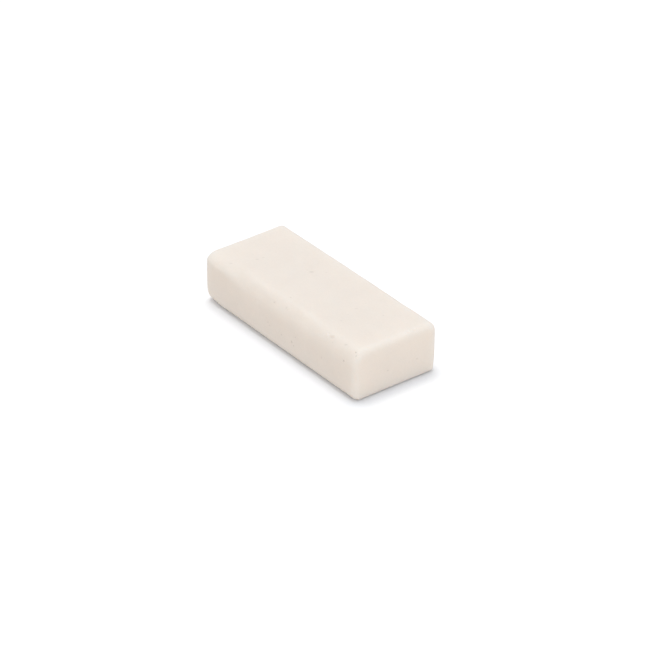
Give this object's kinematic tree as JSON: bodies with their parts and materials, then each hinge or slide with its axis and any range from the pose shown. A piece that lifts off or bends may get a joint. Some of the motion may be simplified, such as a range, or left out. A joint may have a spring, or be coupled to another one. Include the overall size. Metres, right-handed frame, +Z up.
{
  "type": "eraser",
  "caption": "Slim rectangular block eraser of cream thermoplastic rubber with rounded edges, held in the fingers to rub out pencil marks.",
  "frame": {"origin": "centre of the base, on the surface that the block lies on", "axes": "+X along the length, +Y across the width, +Z up through the height"},
  "size_m": [0.045, 0.0186, 0.01],
  "materials": {
    "cream_rubber": "matte"
  },
  "bodies": {
    "root": {"eraser_block": "cream_rubber"}
  },
  "joints": []
}
